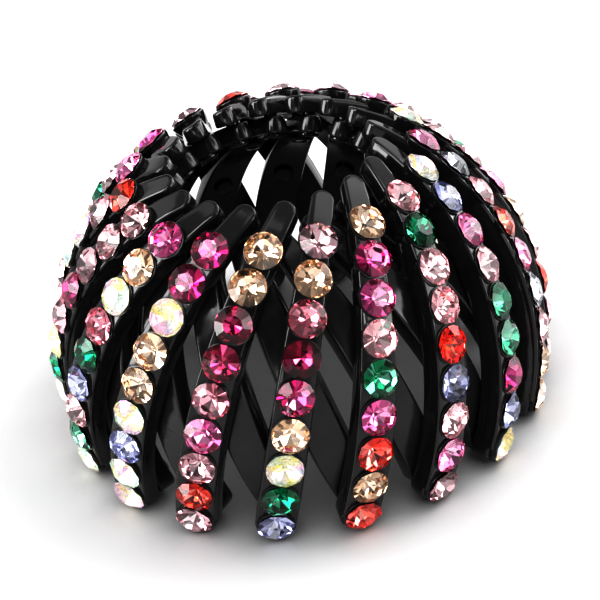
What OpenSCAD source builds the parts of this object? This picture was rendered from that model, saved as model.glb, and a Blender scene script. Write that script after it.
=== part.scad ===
// Bird nest hair clip: an open dome of two layers of crossing ribs, with rows of round cut stones.
// Each rib runs along a great circle of the dome. The outer ribs slant one way and the inner ribs
// the other, and studs on the outer ribs pass through holes in the inner ones where they cross.
// The origin is the middle of the bottom, where the outer ribs stand. Millimetres, +Z up.

/* [Dome] */
// Ribs in each layer
ribs_around = 18; // [18:1:18]
// Radius of the dome at the outer face of the outer ribs
dome_r = 35.7; // [35:0.1:37]
// Angle from the dome's axis to the nearest point of a rib's circle, which sets the slant
rib_lean = 15; // [14:0.5:16]
// Clear space between the two layers of ribs
layer_gap = 0.3; // [0.25:0.05:0.4]
// Slice taken off the lowest ends of the outer ribs, so that they stand flat
foot_cut = 0.35; // [0.2:0.05:0.4]

/* [Ribs] */
// Thickness of an outer rib
outer_rib_t = 2.5; // [2.3:0.1:2.7]
// Thickness of an inner rib
inner_rib_t = 2.6; // [2.4:0.1:2.8]
// Width of an outer rib at its widest place
outer_rib_w = 6.1; // [5.6:0.1:6.4]
// Width of an inner rib at its widest place
inner_rib_w = 6.6; // [6.2:0.1:6.8]
// Width of an outer rib at its rounded top
outer_tip_w = 3.5; // [3:0.1:3.6]
// Width of an inner rib at its rounded top
inner_tip_w = 3.7; // [3.4:0.1:3.8]
// Place along an outer rib of the middle of its rounded top, in degrees
outer_tip_at = 22.9; // [22:0.1:24]
// Place along an inner rib of the middle of its rounded top, in degrees
inner_tip_at = 25.3; // [25:0.1:26]
// Place along an outer rib where it is widest, in degrees
outer_widest_at = 100; // [96:1:104]
// Place along an inner rib where it is widest, in degrees
inner_widest_at = 80; // [76:1:84]
// Place along a rib of the middle of its rounded bottom, in degrees
foot_at = 104.5; // [104.4:0.1:105]
// Turn of an outer rib's face and its stones about the rib, counterclockwise from above
face_turn = 8; // [0:1:10]

/* [Pivot studs] */
// Studs on each outer rib
studs = 4; // [4:1:4]
// Turn about the dome's axis from the start of a rib's circle to its first stud, in degrees
first_stud_turn = 63.5; // [63.5:0.1:64]
// Diameter of a stud
stud_d = 2; // [1.8:0.1:2.2]
// Diameter of the head that holds a stud inside
stud_head_d = 3; // [2.8:0.1:3.2]
// Thickness of that head
stud_head_t = 0.6; // [0.5:0.1:0.8]
// Clear space round a stud
stud_play = 0.1; // [0.08:0.01:0.15]

/* [Stones] */
// Stones on each outer rib
stones_per_rib = 9; // [9:1:9]
// Diameter of a stone
stone_d = 5.35; // [5.2:0.05:5.4]
// Height of the stone above its widest place
crown_h = 1; // [0.9:0.05:1.1]
// Depth of the stone below its widest place
pavilion_h = 1.9; // [1.8:0.05:2]
// Diameter of the flat table on top
table_d = 2.9; // [2.6:0.1:3.2]
// Facets round the crown and round the pavilion
stone_facets = 8; // [8:1:12]
// Height of the stone's widest place above the outer face of the rib
stone_lift = 1; // [0.9:0.05:1.1]
// Place along the rib of the top stone, in degrees
first_stone_at = 34.2; // [34:0.1:35]
// Step from one stone to the next, in degrees
stone_step = 8.66; // [8.6:0.01:8.7]
// Outside diameter of a stone's seat at its rim
seat_d = 5.45; // [5.3:0.05:5.45]
// Outside diameter of a stone's seat at its root in the rib
seat_root_d = 3.4; // [3.2:0.1:3.6]
// Height of a seat's rim above the rib's outer face
seat_h = 0.6; // [0.55:0.05:0.7]
// Height of the bar that joins a rib's seats, above the rib's outer face
bar_h = 0.5; // [0.4:0.05:0.5]
// How far the bar's sides stand in from the rib's
bar_inset = 0.15; // [0.1:0.05:0.3]
// Clear space between a stone and its seat
seat_play = 0.12; // [0.1:0.01:0.15]

/* [Hidden] */
$fn = 48;

// Turn from one rib to the next of its layer
rib_turn = 360 / ribs_around;
// Outer ribs are numbered counterclockwise from above, and 9 and 10 start either side of the front
outer_start = -190;
// The inner ribs start where their holes meet the studs of the outer ones
inner_start = outer_start - 2 * first_stud_turn;

// Radii of the faces, from the outside in
outer_in_r = dome_r - outer_rib_t;
inner_out_r = outer_in_r - layer_gap;
inner_in_r = inner_out_r - inner_rib_t;

// The two kinds of rib: radius where the widths are measured, greatest width, width at the top,
// places of the top and of the greatest width. An inner rib's widths are measured just outside
// its outer face, so that its round ends and its sides cross clear of the edge of that face.
OUTER = [dome_r, outer_rib_w, outer_tip_w, outer_tip_at, outer_widest_at];
INNER = [outer_in_r + layer_gap, inner_rib_w, inner_tip_w, inner_tip_at, inner_widest_at];
// A rib's two sides lie in planes that come together upwards. Half its width is measured at a
// distance from the dome's centre towards the rib's widest place.
function top_u(rib) = rib[0] * cos(rib[4] - rib[3]);
function side_slope(rib) = (rib[1] - rib[2]) / 2 / (rib[0] - top_u(rib));
function half_w(rib, u) = rib[2] / 2 + side_slope(rib) * (u - top_u(rib));
function end_r(rib, place) = half_w(rib, rib[0] * cos(rib[4] - place));

// How far the round foot of an outer rib lies below the dome's centre
foot_drop = -dome_r * cos(foot_at) * cos(rib_lean)
    + end_r(OUTER, foot_at) * norm([cos(rib_lean) * sin(foot_at), sin(rib_lean)]);
centre_h = foot_drop - foot_cut;

// A stone's widest place, and the hollow of its seat, which follows the pavilion below it
girdle_r = dome_r + stone_lift;
pavilion_slope = stone_d / 2 / pavilion_h;
hollow_tip_r = girdle_r - pavilion_h - seat_play / sin(atan(pavilion_slope));
// Radius of the small flat at the bottom of the hollow
hollow_flat_r = 0.05;
// A seat starts this far below the rib's outer face, inside the rib
seat_root = 2;

// A stud starts inside the outer rib, and its head stays clear of the inner rib
stud_root_r = outer_in_r + 0.5;
head_out_r = inner_in_r - 2 * stud_play;
head_in_r = head_out_r - stud_head_t;
head_bevel = stud_head_t / 2;

// Where along a rib its studs and stones sit. Each crossing is half a rib's turn from the last.
function stud_turn(m) = first_stud_turn + m * rib_turn / 2;
function stud_at(m) = atan2(sin(stud_turn(m)) * sin(rib_lean), cos(stud_turn(m)));
function stone_at(k) = first_stone_at + k * stone_step;
last_stone_at = stone_at(stones_per_rib - 1);

function two_digits(i) = str(i < 10 ? "0" : "", i);
function outer_name(i) = str("outer_rib_", two_digits(i));
function inner_name(i) = str("inner_rib_", two_digits(i));
function row_name(i) = str("rhinestone_row_", two_digits(i));

// Children are drawn in a rib's own plane, whose +X is the rib's nearest point to the dome's axis
module in_rib_plane()
    rotate([0, rib_lean - 90, 0])
        children();

module in_inner_rib(i)
    translate([0, 0, centre_h])
        rotate([0, 0, inner_start + i * rib_turn])
            in_rib_plane()
                children();

module in_outer_rib(i)
    translate([0, 0, centre_h])
        rotate([0, 0, outer_start + i * rib_turn])
            mirror([0, 1, 0])
                in_rib_plane()
                    children();

// Stands children on the rib, with their +Z straight out of the dome at a place along the rib
module out_at(place)
    rotate([0, 0, place])
        rotate([0, 90, 0])
            children();

// The part of space that is on one side of a place along the rib
module half_space(place, side) {
    reach = 2 * dome_r;
    rotate([0, 0, place])
        translate([0, side > 0 ? 0 : -reach, -reach / 2])
            cube(reach);
}

// Turns children that stand on an outer rib with the rib's face
module face_turned()
    translate([0, 0, dome_r])
        rotate([0, face_turn, 0])
            translate([0, 0, -dome_r])
                children();

// The space between a rib's two tapered sides, from one place along the rib to another
module rib_sides(rib, from, to, inset) {
    reach = 2 * dome_r;
    near_u = 0.8 * top_u(rib) - rib[2];
    far_u = 1.2 * dome_r;
    near_w = half_w(rib, near_u) - inset;
    far_w = half_w(rib, far_u) - inset;
    intersection() {
        rotate([0, 0, rib[4]])
            rotate([90, 0, 0])
                linear_extrude(height = reach, center = true)
                    polygon([[near_u, -near_w], [far_u, -far_w], [far_u, far_w], [near_u, near_w]]);
        half_space(from, 1);
        half_space(to, -1);
    }
}

// A rib's outline, cut straight in towards the dome's centre: tapered sides and two round ends
module rib_outline(rib) {
    reach = 2 * dome_r;
    rib_sides(rib, rib[3], foot_at, 0);
    for (place = [rib[3], foot_at])
        out_at(place)
            cylinder(h = reach, r = end_r(rib, place));
}

// A curved shell between two radii, whose outer face is turned about the rib
module shell(in_r, out_r, turned) {
    over = 8;
    half = max(outer_rib_w, inner_rib_w);
    rise = half * tan(turned);
    rotate([0, 0, outer_tip_at - over])
        rotate_extrude(angle = foot_at - outer_tip_at + 2 * over, $fn = 144)
            polygon([[in_r, -half], [out_r - rise, -half], [out_r + rise, half], [in_r, half]]);
}

// An outer rib's strip, with the bar on it that runs from its first stone to its last
module outer_strip() {
    intersection() {
        shell(outer_in_r, dome_r, face_turn);
        rib_outline(OUTER);
    }
    intersection() {
        shell(outer_in_r + bar_h, dome_r + bar_h, face_turn);
        rib_sides(OUTER, first_stone_at, last_stone_at, bar_inset);
    }
}

// A round seat under a stone, which flares out of the rib's sides
module seat()
    translate([0, 0, dome_r - seat_root])
        cylinder(h = seat_root + seat_h, d1 = seat_root_d, d2 = seat_d);

// The hollow that a stone's pavilion sits in
module seat_hollow() {
    bottom_r = hollow_tip_r + hollow_flat_r / pavilion_slope;
    depth = girdle_r - bottom_r;
    translate([0, 0, bottom_r])
        cylinder(h = depth, r1 = hollow_flat_r, r2 = hollow_flat_r + depth * pavilion_slope);
}

// A stud with a bevelled head, from inside the outer rib to the inside of the dome
module stud()
    rotate_extrude()
        polygon([[0, stud_root_r], [stud_d / 2, stud_root_r], [stud_d / 2, head_out_r],
                 [stud_head_d / 2, head_out_r], [stud_head_d / 2, head_in_r + head_bevel],
                 [stud_head_d / 2 - head_bevel, head_in_r], [0, head_in_r]]);

module outer_rib(i)
    color("#17171a")
        difference() {
            in_outer_rib(i)
                difference() {
                    union() {
                        outer_strip();
                        for (k = [0:stones_per_rib - 1])
                            out_at(stone_at(k))
                                face_turned()
                                    seat();
                        for (m = [0:studs - 1])
                            out_at(stud_at(m))
                                stud();
                    }
                    for (k = [0:stones_per_rib - 1])
                        out_at(stone_at(k))
                            face_turned()
                                seat_hollow();
                }
            // The floor
            translate([-2 * dome_r, -2 * dome_r, -dome_r])
                cube([4 * dome_r, 4 * dome_r, dome_r]);
        }

module inner_rib(i)
    color("#1e1e22")
        in_inner_rib(i)
            difference() {
                intersection() {
                    shell(inner_in_r, inner_out_r, 0);
                    rib_outline(INNER);
                }
                for (m = [0:studs - 1])
                    out_at(stud_at(m))
                        cylinder(h = dome_r, d = stud_d + 2 * stud_play);
            }

// A round cut stone: a flat table, crown facets down to the girdle and a pointed pavilion
module rhinestone() {
    n = stone_facets;
    function ring(r, h) = [for (j = [0:n - 1]) [r * cos(360 * j / n), r * sin(360 * j / n), h]];
    points = concat(ring(table_d / 2, crown_h), ring(stone_d / 2, 0), [[0, 0, -pavilion_h]]);
    faces = concat(
        [[for (j = [n - 1:-1:0]) j]],
        [for (j = [0:n - 1]) [j, (j + 1) % n, n + (j + 1) % n, n + j]],
        [for (j = [0:n - 1]) [n + j, n + (j + 1) % n, 2 * n]]
    );
    polyhedron(points, faces);
}

module rhinestone_row(i)
    color("#d85a96")
        in_outer_rib(i)
            for (k = [0:stones_per_rib - 1])
                out_at(stone_at(k))
                    face_turned()
                        translate([0, 0, girdle_r])
                            rhinestone();

for (i = [1:ribs_around]) {
    outer_rib(i);
    inner_rib(i);
    rhinestone_row(i);
}
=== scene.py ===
# Bird nest hair clip: glossy black lattice dome with rows of mixed rhinestones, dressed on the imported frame.
# Lengths are in metres and angles in degrees. MM turns sizes that are written in millimetres into metres.
import math
import random
from collections import namedtuple

import bmesh
import bpy
from mathutils import Matrix, Vector


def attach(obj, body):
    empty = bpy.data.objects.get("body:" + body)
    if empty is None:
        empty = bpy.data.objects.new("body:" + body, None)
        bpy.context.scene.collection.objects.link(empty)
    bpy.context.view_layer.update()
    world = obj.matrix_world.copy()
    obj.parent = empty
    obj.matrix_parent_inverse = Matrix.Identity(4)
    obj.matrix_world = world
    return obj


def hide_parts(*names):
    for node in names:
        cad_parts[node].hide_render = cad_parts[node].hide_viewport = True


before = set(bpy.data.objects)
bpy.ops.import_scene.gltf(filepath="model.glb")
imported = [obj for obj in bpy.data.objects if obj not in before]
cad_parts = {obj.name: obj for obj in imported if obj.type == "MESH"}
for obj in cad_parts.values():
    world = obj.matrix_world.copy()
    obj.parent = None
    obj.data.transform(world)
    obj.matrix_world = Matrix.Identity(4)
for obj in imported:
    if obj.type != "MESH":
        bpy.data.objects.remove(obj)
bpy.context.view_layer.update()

MM = 0.001
ROOT = "root"

# The dome and its ribs, as in the part. A place along a rib is an angle on the rib's circle round the dome,
# from the highest point of that circle.
RIBS = 18
RIB_TURN = 360 / RIBS
DOME_R = 35.7 * MM
RIB_LEAN = 15.0
OUTER_T = 2.5 * MM
INNER_T = 2.6 * MM
FOOT_AT = 104.5
LAYER_GAP = 0.3 * MM
FIRST_STUD_TURN = 63.5
OUTER_START = -190.0
INNER_START = OUTER_START - 2 * FIRST_STUD_TURN
STUDS = 4

# Studs and their heads
STUD_R = 1.0 * MM
STUD_PLAY = 0.1 * MM
STUD_HEAD_R = 1.5 * MM
STUD_HEAD_T = 0.6 * MM

# Stones
STONES = 9
STONE_R = 2.7 * MM
CROWN_H = 0.96 * MM
PAVILION_H = 1.88 * MM
TABLE_R = 1.38 * MM
STONE_LIFT = 1.0 * MM
FIRST_STONE_AT = 34.2
STONE_STEP = 8.66
LAST_STONE_AT = FIRST_STONE_AT + (STONES - 1) * STONE_STEP
# How far the outer ribs' faces and their stones are turned about the rib, counterclockwise from above
FACE_TURN = 8.0

OUTER_IN_R = DOME_R - OUTER_T
INNER_OUT_R = OUTER_IN_R - LAYER_GAP
INNER_IN_R = INNER_OUT_R - INNER_T
GIRDLE_R = DOME_R + STONE_LIFT

RibKind = namedtuple("RibKind", "face_r widest tip_width tip_at widest_at")
OUTER = RibKind(face_r=DOME_R, widest=6.1 * MM, tip_width=3.5 * MM, tip_at=22.9, widest_at=100.0)
INNER = RibKind(face_r=INNER_OUT_R, widest=6.48 * MM, tip_width=3.63 * MM, tip_at=25.3, widest_at=80.0)


def half_width(rib, place):
    """Half a rib's width at a place along it: its sides lie in planes that come together upwards."""
    tip_u = math.cos(math.radians(rib.widest_at - rib.tip_at))
    slope = (rib.widest - rib.tip_width) / 2 / (1 - tip_u)
    return rib.tip_width / 2 + slope * (math.cos(math.radians(rib.widest_at - place)) - tip_u)


def foot_drop(rib):
    """How far a round foot's lowest edge lies below the dome's centre."""
    lean, foot = math.radians(RIB_LEAN), math.radians(FOOT_AT)
    side = math.hypot(math.cos(lean) * math.sin(foot), math.sin(lean))
    return -rib.face_r * math.cos(foot) * math.cos(lean) + half_width(rib, FOOT_AT) * side


FOOT_CUT = 0.35 * MM
CENTRE = Vector((0, 0, foot_drop(OUTER) - FOOT_CUT))

# Camera: fitted to the places of the stones and rib tips in the photograph's 600 x 600 frame
IMAGE_PX = 600
FOCAL_PX = 2516.0
SENSOR_MM = 36.0
CAMERA_ELEVATION = 33.29
CAMERA_ROLL = -9.46
CAMERA_AZIMUTH = 0.58
# The dome's centre as the camera sees it: to the right, forward and up
CAMERA_OFFSET = Vector((0.17 * MM, 378 * MM, -5.04 * MM))
CAMERA_NEAR = 0.01
CAMERA_FAR = 20


def axis_turn(axis, angle):
    """A turn about one axis."""
    return Matrix.Rotation(math.radians(angle), 3, axis)


def make_camera():
    """A camera whose right, forward and up axes are the rows of the fitted turn."""
    turn = axis_turn("Y", CAMERA_ROLL) @ axis_turn("X", CAMERA_ELEVATION) @ axis_turn("Z", CAMERA_AZIMUTH)
    right, forward, up = turn
    place = CENTRE - turn.transposed() @ CAMERA_OFFSET
    data = bpy.data.cameras.new("camera")
    data.sensor_width = SENSOR_MM
    data.lens = FOCAL_PX * SENSOR_MM / IMAGE_PX
    data.clip_start = CAMERA_NEAR
    data.clip_end = CAMERA_FAR
    camera = bpy.data.objects.new("camera", data)
    bpy.context.scene.collection.objects.link(camera)
    basis = Matrix((right, up, -forward)).transposed().to_4x4()
    camera.matrix_world = Matrix.Translation(place) @ basis
    bpy.context.scene.camera = camera


# Node helpers

# A noise pattern in an object's own space: cycles per metre, detail, where it starts, and stretch
Pattern = namedtuple("Pattern", "scale detail start stretch", defaults=(0.0, (1, 1, 1)))
# The direction in which the starts of patterns lie apart
START_WAY = (1.0, 0.7, 1.3)


def new_material(name):
    """A material with a plain Principled shader: the material, its nodes, its links and the shader."""
    material = bpy.data.materials.new(name)
    material.use_nodes = True
    nodes, links = material.node_tree.nodes, material.node_tree.links
    return material, nodes, links, nodes["Principled BSDF"]


def noise(nodes, links, pattern, start=0.0):
    """The value of a noise pattern, moved on by a start of its own."""
    place = nodes.new("ShaderNodeTexCoord")
    move = nodes.new("ShaderNodeMapping")
    move.inputs["Scale"].default_value = pattern.stretch
    move.inputs["Location"].default_value = tuple((start + pattern.start) * way for way in START_WAY)
    links.new(place.outputs["Object"], move.inputs["Vector"])
    texture = nodes.new("ShaderNodeTexNoise")
    texture.inputs["Scale"].default_value = pattern.scale
    texture.inputs["Detail"].default_value = pattern.detail
    links.new(move.outputs["Vector"], texture.inputs["Vector"])
    return texture.outputs["Fac"]


def spread(nodes, links, value, low, high, at=(0.3, 0.7)):
    """Maps a value's range, given by at, to low..high."""
    node = nodes.new("ShaderNodeMapRange")
    node.inputs["From Min"].default_value = at[0]
    node.inputs["From Max"].default_value = at[1]
    node.inputs["To Min"].default_value = low
    node.inputs["To Max"].default_value = high
    links.new(value, node.inputs["Value"])
    return node.outputs["Result"]


def ramp(nodes, links, value, stops):
    """A colour ramp from (place, colour) stops."""
    node = nodes.new("ShaderNodeValToRGB")
    points = node.color_ramp.elements
    while len(points) < len(stops):
        points.new(0.5)
    for point, (place, colour) in zip(points, stops):
        point.position = place
        point.color = (*colour, 1)
    links.new(value, node.inputs["Fac"])
    return node.outputs["Color"]


def bump(nodes, links, height, distance, below=None):
    """A bump from a height, on top of the bump below it if there is one."""
    node = nodes.new("ShaderNodeBump")
    node.inputs["Strength"].default_value = 1.0
    node.inputs["Distance"].default_value = distance
    links.new(height, node.inputs["Height"])
    if below is not None:
        links.new(below, node.inputs["Normal"])
    return node.outputs["Normal"]


def scaled(nodes, links, colour, share):
    """A colour times a share."""
    node = nodes.new("ShaderNodeVectorMath")
    node.operation = "SCALE"
    links.new(colour, node.inputs[0])
    links.new(share, node.inputs["Scale"])
    return node.outputs["Vector"]


def facet_tone(nodes):
    """The tone between 0 and 1 that each facet of a stone carries."""
    node = nodes.new("ShaderNodeAttribute")
    node.attribute_name = "facet_tone"
    return node.outputs["Fac"]


# Black plastic

PLASTIC_TINTS = [(0.3, (0.018, 0.0165, 0.017)), (0.7, (0.027, 0.025, 0.0255))]
PLASTIC_IOR = 1.52
FLOW_MARKS = Pattern(160, 4)
RUBBING = Pattern(900, 6, 3, (1, 1, 0.35))
RUBBED_ROUGHNESS = (0.7, 1.5)
COOLING_WAVES = Pattern(220, 1, 5)
COOLING_DEPTH = 0.05 * MM
FINE_GRAIN = Pattern(4200, 4, 9)
GRAIN_DEPTH = 0.0025 * MM
# Worn edges, also lightened as a painted highlight along the edges: between these two values of pointiness, up
# to this share of the lighter tint
WEAR_AND_SHEEN_BETWEEN = (0.53, 0.62)
WEAR_AND_SHEEN_SHARE = 0.35
WEAR_AND_SHEEN_TINT = (0.06, 0.058, 0.06, 1)
# For each layer of ribs: where its patterns start, and its roughness
OUTER_PLASTIC = (1.0, 0.075)
INNER_PLASTIC = (21.0, 0.14)


def black_plastic(name, start, rough):
    """Glossy moulded black plastic: slow waves from cooling, flow marks, fine rubbing, and edges lightened
    partly by wear and partly as a painted highlight.
    """
    material, nodes, links, shader = new_material(name)
    tint = ramp(nodes, links, noise(nodes, links, FLOW_MARKS, start), PLASTIC_TINTS)
    # Painted highlight and wear: the base colour is lightened at sharp edges by pointiness, partly standing in
    # for the light lines along the edges
    edge = nodes.new("ShaderNodeNewGeometry")
    wear_and_sheen = spread(nodes, links, edge.outputs["Pointiness"], 0.0, WEAR_AND_SHEEN_SHARE, at=WEAR_AND_SHEEN_BETWEEN)
    mix = nodes.new("ShaderNodeMix")
    mix.data_type = "RGBA"
    mix.inputs["B"].default_value = WEAR_AND_SHEEN_TINT
    links.new(wear_and_sheen, mix.inputs["Factor"])
    links.new(tint, mix.inputs["A"])
    links.new(mix.outputs["Result"], shader.inputs["Base Color"])
    rubbed = noise(nodes, links, RUBBING, start)
    smooth, dull = (rough * share for share in RUBBED_ROUGHNESS)
    links.new(spread(nodes, links, rubbed, smooth, dull), shader.inputs["Roughness"])
    waves = bump(nodes, links, noise(nodes, links, COOLING_WAVES, start), COOLING_DEPTH)
    grain = bump(nodes, links, noise(nodes, links, FINE_GRAIN, start), GRAIN_DEPTH, below=waves)
    links.new(grain, shader.inputs["Normal"])
    shader.inputs["IOR"].default_value = PLASTIC_IOR
    return material


# Stone materials

# Stone colours: the light that comes back through glass and foil
STONE_LOOKS = {
    "F": ("fuchsia", (0.66, 0.06, 0.27)),
    "K": ("raspberry", (0.50, 0.05, 0.16)),
    "N": ("orchid", (0.88, 0.30, 0.56)),
    "R": ("rose", (0.88, 0.44, 0.52)),
    "L": ("light_rose", (0.96, 0.68, 0.71)),
    "P": ("peach", (0.97, 0.77, 0.60)),
    "M": ("mauve", (0.78, 0.54, 0.58)),
    "D": ("red", (0.88, 0.07, 0.035)),
    "E": ("emerald", (0.008, 0.30, 0.15)),
    "V": ("lilac", (0.52, 0.54, 0.74)),
    "G": ("grey", (0.58, 0.59, 0.64)),
    "A": ("aurora", (0.97, 0.97, 0.96)),
}

# The stones of each outer rib, from the top down, read off the photograph where they show
STONE_CHART = [
    "MNRFLPERG", "FPLRELMKL", "NLEPRLFVA", "DMAALRKEF", "LLMFRAEAL", "NPAREVLEA",
    "FFAPPAVAA", "PPKKRNMDM", "MPRKFPAEV", "PFNLENDPD", "LELLDVLNL", "AVNMEEFVA",
    "NGLDNGLPP", "ALRFPLDRM", "NLMEFGPRL", "MRDLFAKEL", "LFNPVRLDF", "DLPRMFAEL",
]

# How much of a stone's colour is in its glass. The rest is in the foil.
GLASS_SHARE = 0.22
# Painted shade and painted glints on the foil: over the facets' tones, how far the foil's colour goes towards
# black (below 0) or towards white (above 0)
FOIL_SHADE_AND_GLINTS = [(0.0, -0.65), (0.25, -0.3), (0.6, 0.0), (0.8, 0.2), (1.0, 0.62)]
FOIL_CLOUDS = Pattern(1500, 2)
FOIL_ROUGHNESS = (0.02, 0.07)
GLASS_TONES = [(0.0, -0.06), (0.6, 0.0)]
GLASS_POLISH = Pattern(2600, 3)
GLASS_ROUGHNESS = (0.0, 0.02)
GLASS_IOR = 1.5

# The rainbow coat of the aurora stones drifts through sky, mint, pale yellow, pink and lilac
AURORA_COLOURS = [
    (0.10, (0.50, 0.80, 0.90)),
    (0.24, (0.70, 0.96, 0.86)),
    (0.36, (0.86, 0.92, 0.88)),
    (0.48, (0.88, 0.90, 0.84)),
    (0.58, (0.97, 0.90, 0.30)),
    (0.66, (0.90, 0.94, 0.80)),
    (0.78, (0.88, 0.60, 0.84)),
    (0.90, (0.66, 0.72, 0.92)),
]
AURORA_DRIFT = Pattern(280, 0)
# How much the facet's own tone counts beside the drift
AURORA_FACETS = 0.42
AURORA_METALLIC = 0.5
AURORA_ROUGHNESS = (0.22, 0.32)
COAT_NANOMETRES = 310.0
COAT_IOR = 1.8


def toned(colour, stops):
    """Ramp stops of one colour that goes towards black or white."""
    result = []
    for place, share in stops:
        goal = 1 if share > 0 else 0
        result.append((place, tuple(c + (goal - c) * abs(share) for c in colour)))
    return result


def aurora_colour(nodes, links):
    """The rainbow coat's colour: it drifts over each stone and jumps from facet to facet."""
    drift = noise(nodes, links, AURORA_DRIFT)
    both = nodes.new("ShaderNodeMix")
    both.inputs["Factor"].default_value = AURORA_FACETS
    links.new(spread(nodes, links, drift, 0.0, 1.0), both.inputs["A"])
    links.new(facet_tone(nodes), both.inputs["B"])
    return ramp(nodes, links, both.outputs["Result"], AURORA_COLOURS)


def foil_material(key):
    """The mirror behind a stone, seen through its glass. Plain foils carry painted shade and painted glints,
    darker or whiter from facet to facet.
    """
    name, colour = STONE_LOOKS[key]
    material, nodes, links, shader = new_material(f"stone_foil_{name}")
    if name == "aurora":
        tint, metallic, roughness = aurora_colour(nodes, links), AURORA_METALLIC, AURORA_ROUGHNESS
    else:
        foil = tuple(c ** (1 - GLASS_SHARE) for c in colour)
        # Painted shade and glints: each facet's foil goes towards black or towards white by its tone
        tint = ramp(nodes, links, facet_tone(nodes), toned(foil, FOIL_SHADE_AND_GLINTS))
        metallic, roughness = 1.0, FOIL_ROUGHNESS
    links.new(tint, shader.inputs["Base Color"])
    shader.inputs["Metallic"].default_value = metallic
    clouds = noise(nodes, links, FOIL_CLOUDS)
    links.new(spread(nodes, links, clouds, *roughness), shader.inputs["Roughness"])
    return material


def glass_material(key):
    """The cut glass in front: polished, tinted, with faint polishing marks, and a rainbow coat on some."""
    name, colour = STONE_LOOKS[key]
    material, nodes, links, shader = new_material(f"stone_glass_{name}")
    # Light passes the glass twice, so each way takes half its share of the colour
    glass = tuple(c ** (GLASS_SHARE / 2) for c in colour)
    tint = ramp(nodes, links, facet_tone(nodes), toned(glass, GLASS_TONES))
    links.new(tint, shader.inputs["Base Color"])
    polish = noise(nodes, links, GLASS_POLISH)
    links.new(spread(nodes, links, polish, *GLASS_ROUGHNESS), shader.inputs["Roughness"])
    shader.inputs["Transmission Weight"].default_value = 1.0
    shader.inputs["IOR"].default_value = GLASS_IOR
    if name == "aurora":
        shader.inputs["Thin Film Thickness"].default_value = COAT_NANOMETRES
        shader.inputs["Thin Film IOR"].default_value = COAT_IOR
    return material


# Mesh helpers

SAME_PLACE = 1e-6
NO_LENGTH = 1e-7


def link_object(name, mesh):
    """A new object of the scene with this mesh."""
    piece = bpy.data.objects.new(name, mesh)
    bpy.context.scene.collection.objects.link(piece)
    return piece


def mesh_from(name, points, faces):
    """A mesh from its points and faces."""
    mesh = bpy.data.meshes.new(name)
    mesh.from_pydata([tuple(p) for p in points], [], faces)
    mesh.update()
    return mesh


def closed(mesh):
    """Merges the seams of a mesh and turns its faces outwards."""
    bm = bmesh.new()
    bm.from_mesh(mesh)
    bmesh.ops.remove_doubles(bm, verts=bm.verts, dist=SAME_PLACE)
    bmesh.ops.dissolve_degenerate(bm, edges=bm.edges, dist=NO_LENGTH)
    bmesh.ops.recalc_face_normals(bm, faces=bm.faces)
    bm.to_mesh(mesh)
    bm.free()
    return mesh


def face_outwards(mesh):
    """Turns the faces of a mesh outwards and leaves its points as they are."""
    bm = bmesh.new()
    bm.from_mesh(mesh)
    bmesh.ops.recalc_face_normals(bm, faces=bm.faces)
    bm.to_mesh(mesh)
    bm.free()


def combine(piece, other, how):
    """Joins or cuts a mesh object with another, keeps the result in its mesh and removes the other."""
    cut = piece.modifiers.new(how.lower(), "BOOLEAN")
    cut.operation = how
    cut.object = other
    cut.solver = "EXACT"
    bpy.context.view_layer.update()
    graph = bpy.context.evaluated_depsgraph_get()
    result = bpy.data.meshes.new_from_object(piece.evaluated_get(graph))
    piece.modifiers.clear()
    piece.data = result
    bpy.data.objects.remove(other)


def smooth_by_angle(mesh, angle):
    """Smooth shading, with sharp edges where faces meet at more than this angle."""
    mesh.shade_smooth()
    mesh.set_sharp_from_angle(angle=math.radians(angle))


def dress(piece, node):
    """Makes a finished piece ride on the clip's one body in place of a node of the part."""
    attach(piece, ROOT)
    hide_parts(node)


# Places on the dome

def place_matrix(place, mirrored):
    """Turns +Z to point straight out of the dome at a place along a rib, in the rib's own plane.

    Outer ribs are mirrored, because they lean the other way than the inner ones."""
    side = -1 if mirrored else 1
    return Matrix.Rotation(math.radians(side * place), 4, "Z") @ Matrix.Rotation(math.radians(90), 4, "Y")


def rib_matrix(number, mirrored):
    """Puts a rib drawn in its own plane into the dome."""
    start = OUTER_START if mirrored else INNER_START
    spin = Matrix.Rotation(math.radians(start + number * RIB_TURN), 4, "Z")
    return Matrix.Translation(CENTRE) @ spin @ Matrix.Rotation(math.radians(RIB_LEAN - 90), 4, "Y")


def face_turn():
    """Turns what stands on an outer rib's face with that face."""
    up = Matrix.Translation((0, 0, DOME_R))
    return up @ Matrix.Rotation(math.radians(FACE_TURN), 4, "Y") @ up.inverted()


def stone_places():
    """The places of the stones along an outer rib, from the top down."""
    return [FIRST_STONE_AT + STONE_STEP * k for k in range(STONES)]


def stud_places():
    """The places along a rib where it crosses the ribs of the other layer that it is pinned to."""
    places = []
    lean = math.radians(RIB_LEAN)
    for number in range(STUDS):
        turn = math.radians(FIRST_STUD_TURN + number * RIB_TURN / 2)
        places.append(math.degrees(math.atan2(math.sin(turn) * math.sin(lean), math.cos(turn))))
    return places


# Turned forms on the ribs

def lathe(profile, sides):
    """Points and faces of a profile of (radius, height) turned about Z, starting and ending on the axis."""
    points, faces = [], []
    for radius, height in profile:
        for step in range(sides):
            angle = 2 * math.pi * step / sides
            points.append((radius * math.cos(angle), radius * math.sin(angle), height))
    for row in range(len(profile) - 1):
        for step in range(sides):
            a, b = row * sides + step, row * sides + (step + 1) % sides
            faces.append((a, b, b + sides, a + sides))
    return points, faces


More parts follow.
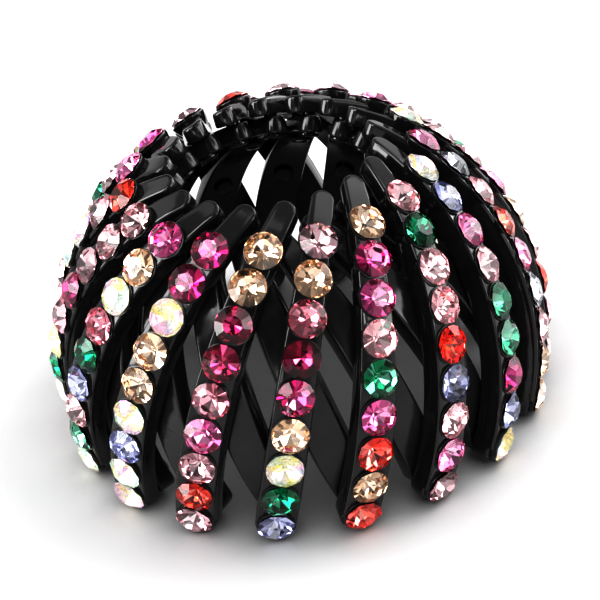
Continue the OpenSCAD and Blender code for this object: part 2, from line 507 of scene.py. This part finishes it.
def lathes(name, profile, sides, places, mirrored, extra=Matrix.Identity(4)):
    """The same turned solid at several places along a rib, as one object."""
    points, faces = lathe(profile, sides)
    all_points, all_faces = [], []
    for place in places:
        turn = place_matrix(place, mirrored) @ extra
        first = len(all_points)
        all_points += [turn @ Vector(p) for p in points]
        all_faces += [tuple(first + v for v in face) for face in faces]
    return link_object(name, closed(mesh_from(name, all_points, all_faces)))


# A seat from its root inside the rib to its rim, in millimetres: radius, and height above the rib's face
SEAT = [
    (1.5, -2.0), (2.05, -1.3), (2.46, -0.5), (2.68, 0.1), (2.77, 0.4), (2.81, 0.58), (2.79, 0.67), (2.7, 0.7),
]
SEAT_SIDES = 48
# The hollow's tip lies this far below the stone's point. Its cone is parallel to the stone's lower facets and
# larger than the stone by this factor, so that it opens the seat's rim.
HOLLOW_GAP = 0.15 * MM
HOLLOW_SIZE = 2.0
# A stud's root reaches this far into its rib. Its head has a small bevel next to the inner rib, and a round
# inner edge in millimetres: how far in from the head's side, and how high above its inner face.
STUD_ROOT = 0.5 * MM
HEAD_BEVEL = 0.08 * MM
HEAD_EDGE = [(0.0, 0.3), (0.12, 0.13), (0.35, 0.03), (0.6, 0.0)]
STUD_SIDES = 28
# What cuts a stud's hole reaches this far past the inner rib's inner face
HOLE_REACH = 2 * MM


def seat_profile():
    """A stone's seat, which flares up to its rim."""
    seat = [(radius * MM, DOME_R + height * MM) for radius, height in SEAT]
    return [(0, seat[0][1]), *seat, (0, seat[-1][1])]


def hollow_profile():
    """The cone cut from a seat for the stone's lower half."""
    tip = GIRDLE_R - PAVILION_H - HOLLOW_GAP
    top = tip + HOLLOW_SIZE * PAVILION_H
    return [(0, tip), (HOLLOW_SIZE * STONE_R, top), (0, top)]


def stud_profile():
    """A stud from its root in the outer rib to its head inside the inner rib."""
    root = OUTER_IN_R + STUD_ROOT
    head_out = INNER_IN_R - 2 * STUD_PLAY
    head_in = head_out - STUD_HEAD_T
    shank = [(0, root), (STUD_R, root), (STUD_R, head_out)]
    bevel = [(STUD_HEAD_R - HEAD_BEVEL, head_out), (STUD_HEAD_R, head_out - HEAD_BEVEL)]
    edge = [(STUD_HEAD_R - inset * MM, head_in + height * MM) for inset, height in HEAD_EDGE]
    return [*shank, *bevel, *edge, (0, head_in)]


def hole_profile():
    """What is cut from an inner rib for a stud."""
    hole_r, low = STUD_R + STUD_PLAY, INNER_IN_R - HOLE_REACH
    return [(0, low), (hole_r, low), (hole_r, DOME_R), (0, DOME_R)]


# Rib bodies

# Down one side of a rib's section, in millimetres: how far in from its side, and how deep below its face
OUTER_SIDE = [
    (0.62, 0.0), (0.42, 0.025), (0.26, 0.1), (0.15, 0.24),
    (0.09, 0.46), (0.0, 2.22), (0.05, 2.38), (0.2, 2.5),
]
# The same for an inner rib, whose sides flare more
INNER_SIDE = [
    (0.85, 0.0), (0.68, 0.02), (0.55, 0.09), (0.46, 0.22),
    (0.4, 0.42), (0.0, 2.2), (0.04, 2.44), (0.2, 2.6),
]
# The same for the bar between the seats, which rises from the rib's outer face
BAR_SIDE = [(0.42, -0.5), (0.3, -0.47), (0.2, -0.38), (0.14, -0.22), (0.11, 0.1), (0.2, 0.6), (0.5, 1.2)]
PLATEAU_STEPS = 6
END_STEPS = 12
LENGTH_STEPS = 72
SHARP_FROM = 32


def stations(rib, inset):
    """Places along the rib and half widths there, from one round end to the other."""
    rows = []
    tip_r, foot_r = half_width(rib, rib.tip_at) - inset, half_width(rib, FOOT_AT) - inset
    for step in range(END_STEPS):
        angle = math.pi / 2 * step / END_STEPS
        place = rib.tip_at - math.degrees(tip_r * math.cos(angle) / rib.face_r)
        rows.append((place, tip_r * math.sin(angle)))
    for step in range(LENGTH_STEPS + 1):
        place = rib.tip_at + (FOOT_AT - rib.tip_at) * step / LENGTH_STEPS
        rows.append((place, half_width(rib, place) - inset))
    for step in range(END_STEPS - 1, -1, -1):
        angle = math.pi / 2 * step / END_STEPS
        place = FOOT_AT + math.degrees(foot_r * math.cos(angle) / rib.face_r)
        rows.append((place, foot_r * math.sin(angle)))
    return rows


def bar_stations(rib, inset):
    """Places and half widths along the bar, from the first stone to the last."""
    rows = []
    for step in range(LENGTH_STEPS + 1):
        place = FIRST_STONE_AT + (LAST_STONE_AT - FIRST_STONE_AT) * step / LENGTH_STEPS
        rows.append((place, half_width(rib, place) - inset))
    return rows


def section_columns(section):
    """(inset, depth, share of the half width) for each column round a section."""
    across = [-1 + 2 * step / PLATEAU_STEPS for step in range(PLATEAU_STEPS + 1)]
    top = [(*section[0], share) for share in across]
    right = [(*point, 1) for point in section[1:]]
    bottom = [(*section[-1], -share) for share in across[1:-1]]
    left = [(*point, -1) for point in reversed(section[1:])]
    return top + right + bottom + left


def swept(name, rib, section, rows_at, thick, turned, mirrored):
    """A section swept along a rib, with its outer face turned about the rib. Wide ends are capped."""
    columns = section_columns(section)
    side = -1 if mirrored else 1
    points = []
    for inset, depth, share in columns:
        slope = math.tan(math.radians(turned)) * (1 - max(depth, 0) * MM / thick)
        for place, half in rows_at(rib, inset * MM):
            angle = math.radians(place)
            radius = rib.face_r - depth * MM + half * share * slope
            points.append((radius * math.cos(angle), side * radius * math.sin(angle), half * share))
    rows = len(points) // len(columns)
    faces = []
    for column in range(len(columns)):
        following = (column + 1) % len(columns)
        for row in range(rows - 1):
            a, b = column * rows + row, following * rows + row
            faces.append((a, b, b + 1, a + 1))
    if rows_at(rib, 0)[0][1] > 0:
        for row in (0, rows - 1):
            faces.append(tuple(column * rows + row for column in range(len(columns))))
    return link_object(name, closed(mesh_from(name, points, faces)))


def outer_rib_shape():
    """One outer rib in its own plane: the strip, the bar and seats for its stones, and its studs."""
    rib = swept("outer_rib_shape", OUTER, OUTER_SIDE, stations, OUTER_T, FACE_TURN, True)
    places = stone_places()
    combine(rib, swept("bar", OUTER, BAR_SIDE, bar_stations, OUTER_T, FACE_TURN, True), "UNION")
    # Neighbouring seats overlap, so they are joined in two goes
    combine(rib, lathes("seats", seat_profile(), SEAT_SIDES, places[::2], True, face_turn()), "UNION")
    combine(rib, lathes("seats", seat_profile(), SEAT_SIDES, places[1::2], True, face_turn()), "UNION")
    combine(rib, lathes("hollows", hollow_profile(), SEAT_SIDES, places, True, face_turn()), "DIFFERENCE")
    combine(rib, lathes("studs", stud_profile(), STUD_SIDES, stud_places(), True), "UNION")
    return rib


def inner_rib_shape():
    """One inner rib in its own plane: the strip with its stud holes."""
    rib = swept("inner_rib_shape", INNER, INNER_SIDE, stations, INNER_T, 0.0, False)
    combine(rib, lathes("holes", hole_profile(), STUD_SIDES, stud_places(), False), "DIFFERENCE")
    return rib


def cut_feet(mesh):
    """Trims what reaches below the floor, as the part's flat feet do."""
    bm = bmesh.new()
    bm.from_mesh(mesh)
    every = bm.verts[:] + bm.edges[:] + bm.faces[:]
    cut = bmesh.ops.bisect_plane(bm, geom=every, plane_co=(0, 0, 0), plane_no=(0, 0, 1), clear_inner=True)
    rim = [e for e in cut["geom_cut"] if isinstance(e, bmesh.types.BMEdge)]
    if rim:
        bmesh.ops.contextual_create(bm, geom=rim)
    bm.to_mesh(mesh)
    bm.free()


def make_ribs(shape, kind, mirrored, material):
    """All ribs of one layer, as turned copies of one shape."""
    for number in range(1, RIBS + 1):
        mesh = shape.data.copy()
        mesh.transform(rib_matrix(number, mirrored))
        if mirrored:
            cut_feet(mesh)
        smooth_by_angle(mesh, SHARP_FROM)
        mesh.materials.clear()
        mesh.materials.append(material)
        name = f"{kind}_{number:02d}"
        mesh.name = f"{name}_moulded"
        dress(link_object(f"{name}_moulded", mesh), name)
    bpy.data.objects.remove(shape)


# Stones

# How many facets go round a stone
FOLD = 8
# Heights of the girdle's lower and upper edges where they are lowest and highest. Both edges run up and down,
# because the facets that meet them are flat.
GIRDLE_LOW = -0.1 * MM
GIRDLE_HIGH = 0.1 * MM
STONE_SEED = 12
# How far a stone is typically tipped about each of two axes
STONE_TILT = 1.2


def cut_stone():
    """A round cut stone: points, faces, and for each face whether it is glass (0) or foil (1)."""
    half_step = math.pi / FOLD
    points = []

    def ring(radius, heights, offset=0.0):
        """Adds a ring of points whose heights repeat, and gives their numbers."""
        first, count = len(points), FOLD * len(heights)
        for step in range(count):
            angle = 2 * math.pi * step / count + offset
            points.append((radius * math.cos(angle), radius * math.sin(angle), heights[step % len(heights)]))
        return [first + step for step in range(count)]

    inner, outer = math.cos(half_step) * TABLE_R, math.cos(half_step) * STONE_R
    crown_slope = (CROWN_H - GIRDLE_HIGH) / (outer - inner)
    crown_dip = crown_slope * (STONE_R - outer)
    pavilion_rise = (PAVILION_H + GIRDLE_LOW) * (STONE_R / outer - 1)
    table = ring(TABLE_R, [CROWN_H], half_step)
    girdle = ring(STONE_R, [GIRDLE_HIGH - crown_dip, GIRDLE_HIGH])
    belt = ring(STONE_R, [GIRDLE_LOW, GIRDLE_LOW + pavilion_rise])
    points.append((0, 0, -PAVILION_H))
    culet = len(points) - 1
    glass, foil = [tuple(table)], []
    for j in range(FOLD):
        g0, g1, g2 = 2 * j, 2 * j + 1, (2 * j + 2) % (2 * FOLD)
        glass.append((table[j - 1], girdle[g0 - 1], girdle[g0], girdle[g1], table[j]))
        foil += [(culet, belt[g2], belt[g1], belt[g0]), (girdle[g0], belt[g0], belt[g1], girdle[g1]),
                 (girdle[g1], belt[g1], belt[g2], girdle[g2])]
    return points, glass + foil, [0] * len(glass) + [1] * len(foil)


def stone_matrix(draw, number, place):
    """Puts a stone at its place on an outer rib, turned at random and tipped a little."""
    spin = Matrix.Rotation(draw.uniform(0, 2 * math.pi), 4, "Z")
    tip = Matrix.Rotation(math.radians(draw.gauss(0, STONE_TILT)), 4, "X")
    nod = Matrix.Rotation(math.radians(draw.gauss(0, STONE_TILT)), 4, "Y")
    up = Matrix.Translation((0, 0, GIRDLE_R))
    return rib_matrix(number, True) @ place_matrix(place, True) @ face_turn() @ up @ tip @ nod @ spin


def random_tones(draw, count):
    """Tones between 0 and 1, spread evenly over the facets of a stone in random order."""
    tones = [(step + draw.random()) / count for step in range(count)]
    draw.shuffle(tones)
    return tones


def stone_row_mesh(draw, name, number, looks):
    """The stones of one outer rib, with their materials and the tones of their facets."""
    points, faces, kinds = cut_stone()
    row = STONE_CHART[number - 1]
    keys = sorted(set(row))
    all_points, all_faces, slots, tones = [], [], [], []
    for key, place in zip(row, stone_places()):
        turn = stone_matrix(draw, number, place)
        first = len(all_points)
        all_points += [turn @ Vector(p) for p in points]
        all_faces += [tuple(first + v for v in face) for face in faces]
        slots += [2 * keys.index(key) + kind for kind in kinds]
        tones += random_tones(draw, len(faces))
    mesh = mesh_from(name, all_points, all_faces)
    for key in keys:
        glass, foil = looks[key]
        mesh.materials.append(glass)
        mesh.materials.append(foil)
    mesh.polygons.foreach_set("material_index", slots)
    mesh.attributes.new("facet_tone", "FLOAT", "FACE").data.foreach_set("value", tones)
    face_outwards(mesh)
    return mesh


def make_stones():
    """One piece for each outer rib's row of stones."""
    draw = random.Random(STONE_SEED)
    looks = {key: (glass_material(key), foil_material(key)) for key in STONE_LOOKS}
    for number in range(1, RIBS + 1):
        name = f"rhinestone_row_{number:02d}"
        mesh = stone_row_mesh(draw, f"{name}_cut", number, looks)
        dress(link_object(f"{name}_cut", mesh), name)


# Floor

FLOOR_HALF = 3.0
FLOOR_PAPER = Pattern(40, 4)
FLOOR_TINTS = [(0.3, (0.93, 0.93, 0.935)), (0.7, (0.955, 0.955, 0.96))]
FLOOR_ROUGHNESS = 0.55
# Deep shadow on the floor is a little darker than its light alone makes it, as in the photograph: how far off
# the clip still shades it, what is left of its tint in the deepest shade, and how open deep and no shade are
SHADOW_REACH = 80 * MM
DEEP_SHADOW = 0.55
SHADE_BETWEEN = (0.2, 0.7)


def make_floor():
    """A wide pale floor with a hint of paper grain, and painted shade on it close to the clip."""
    corners = [(-FLOOR_HALF, -FLOOR_HALF, 0), (FLOOR_HALF, -FLOOR_HALF, 0),
               (FLOOR_HALF, FLOOR_HALF, 0), (-FLOOR_HALF, FLOOR_HALF, 0)]
    mesh = mesh_from("floor", corners, [(0, 1, 2, 3)])
    material, nodes, links, shader = new_material("floor_paper")
    tint = ramp(nodes, links, noise(nodes, links, FLOOR_PAPER), FLOOR_TINTS)
    # Painted shade: the floor's tint is darkened where ambient occlusion finds the clip close by
    open_sky = nodes.new("ShaderNodeAmbientOcclusion")
    open_sky.inputs["Distance"].default_value = SHADOW_REACH
    shade = spread(nodes, links, open_sky.outputs["AO"], DEEP_SHADOW, 1.0, at=SHADE_BETWEEN)
    links.new(scaled(nodes, links, tint, shade), shader.inputs["Base Color"])
    shader.inputs["Roughness"].default_value = FLOOR_ROUGHNESS
    mesh.materials.append(material)
    link_object("floor", mesh)


# Room

# The room's brightness from the horizon (0) to straight up (1), as gloss, glass and the camera see it
ROOM_BANDS = [
    (0.0, (1.5, 1.5, 1.51)),
    (0.2, (1.3, 1.3, 1.31)),
    (0.5, (1.0, 1.0, 1.01)),
    (0.82, (0.5, 0.5, 0.5)),
]
# Dark places in the room: direction, half angle, softness, and how much of the room's light is left there.
# The first one is round the camera.
DARK_PLACES = [
    ((0.0, -0.836, 0.549), 24, 7, 0.06),
    ((-0.75, -0.55, 0.35), 12, 4, 0.25),
    ((0.7, 0.1, 0.7), 15, 5, 0.2),
    ((-0.3, 0.75, 0.6), 20, 6, 0.3),
    ((0.62, -0.75, 0.2), 11, 4, 0.3),
]
# The fill that lights dull surfaces, and its share by height. It comes from halfway up, so that little of it
# reaches the floor inside the dome through the windows and the hole.
ROOM_FILL = 1.75
FILL_BANDS = [
    (0.0, (0.2, 0.2, 0.2)),
    (0.42, (0.25, 0.25, 0.25)),
    (0.58, (1.0, 1.0, 1.0)),
    (0.86, (1.0, 1.0, 1.0)),
    (0.95, (0.2, 0.2, 0.2)),
]


def darkened(nodes, links, room, way, direction, half, soft, left):
    """The room with one dark place in it."""
    dot = nodes.new("ShaderNodeVectorMath")
    dot.operation = "DOT_PRODUCT"
    dot.inputs[1].default_value = Vector(direction).normalized()
    links.new(way, dot.inputs[0])
    near, far = math.cos(math.radians(half - soft)), math.cos(math.radians(half + soft))
    share = spread(nodes, links, dot.outputs["Value"], 1.0, left, at=(far, near))
    return scaled(nodes, links, room, share)


def make_world():
    """A pale room with a few dark places for gloss and glass, and a soft fill for dull surfaces."""
    world = bpy.data.worlds.new("studio")
    world.use_nodes = True
    nodes, links = world.node_tree.nodes, world.node_tree.links
    sky, out = nodes["Background"], nodes["World Output"]
    way = nodes.new("ShaderNodeTexCoord").outputs["Generated"]
    split = nodes.new("ShaderNodeSeparateXYZ")
    links.new(way, split.inputs["Vector"])
    room = ramp(nodes, links, split.outputs["Z"], ROOM_BANDS)
    for dark_place in DARK_PLACES:
        room = darkened(nodes, links, room, way, *dark_place)
    links.new(room, sky.inputs["Color"])
    fill = nodes.new("ShaderNodeBackground")
    links.new(ramp(nodes, links, split.outputs["Z"], FILL_BANDS), fill.inputs["Color"])
    fill.inputs["Strength"].default_value = ROOM_FILL
    path = nodes.new("ShaderNodeLightPath")
    mix = nodes.new("ShaderNodeMixShader")
    links.new(path.outputs["Is Diffuse Ray"], mix.inputs["Fac"])
    links.new(sky.outputs["Background"], mix.inputs[1])
    links.new(fill.outputs["Background"], mix.inputs[2])
    links.new(mix.outputs["Shader"], out.inputs["Surface"])
    bpy.context.scene.world = world


# Lights: azimuth (0 is the right side, 90 the back, 270 the camera's side), elevation, width and height in
# metres, and brightness. Soft boxes light everything, and cards only gloss and glass.
SOFT_BOXES = {
    "softbox_right": (14, 47, 0.6, 0.6, 3.0),
    "softbox_back_left": (150, 36, 0.5, 0.4, 1.2),
}
CARDS = {
    "card_left": (190, 24, 0.5, 0.8, 12.0),
    "card_right": (12, 18, 0.9, 0.36, 5.0),
    "card_right_back": (38, 6, 0.55, 0.34, 5.0),
    "card_right_front": (-26, 18, 0.3, 0.4, 7.0),
    "card_upper_left": (150, 64, 0.42, 0.3, 1.2),
    "card_front_left": (222, 50, 0.3, 0.5, 10.0),
    "card_front_right": (316, 30, 0.05, 0.42, 12.0),
    "card_front_low": (262, 14, 0.3, 0.16, 4.0),
    "card_top": (280, 80, 0.3, 0.2, 1.5),
}
LIGHT_DISTANCE = 1.0
# Below 1, the view's gamma deepens the dark tones as in the photograph
VIEW_GAMMA = 0.65
MOST_BOUNCES = 24
GLOSSY_BOUNCES = 16


def panel(name, azimuth, elevation, width, height, brightness):
    """A bright rectangle that faces the clip from a direction."""
    around, up = math.radians(azimuth), math.radians(elevation)
    out = Vector((math.cos(up) * math.cos(around), math.cos(up) * math.sin(around), math.sin(up)))
    data = bpy.data.lights.new(name, "AREA")
    data.shape = "RECTANGLE"
    data.size, data.size_y = width, height
    data.energy = brightness * math.pi * width * height
    light = bpy.data.objects.new(name, data)
    bpy.context.scene.collection.objects.link(light)
    light.location = CENTRE + LIGHT_DISTANCE * out
    light.rotation_euler = out.to_track_quat("Z", "Y").to_euler()
    return light


def make_light():
    """Soft boxes on the right and behind, so that the clip's inside stays dark, then cards and the room."""
    for name, values in SOFT_BOXES.items():
        panel(name, *values)
    for name, values in CARDS.items():
        panel(name, *values).visible_diffuse = False
    make_world()
    settings = bpy.context.scene.view_settings
    settings.view_transform = "Standard"
    settings.gamma = VIEW_GAMMA
    cycles = bpy.context.scene.cycles
    cycles.max_bounces = MOST_BOUNCES
    cycles.glossy_bounces = GLOSSY_BOUNCES
    cycles.transmission_bounces = MOST_BOUNCES


make_camera()
make_light()
make_floor()
outer_black = black_plastic("outer_black_plastic", *OUTER_PLASTIC)
inner_black = black_plastic("inner_black_plastic", *INNER_PLASTIC)
make_ribs(outer_rib_shape(), "outer_rib", True, outer_black)
make_ribs(inner_rib_shape(), "inner_rib", False, inner_black)
make_stones()
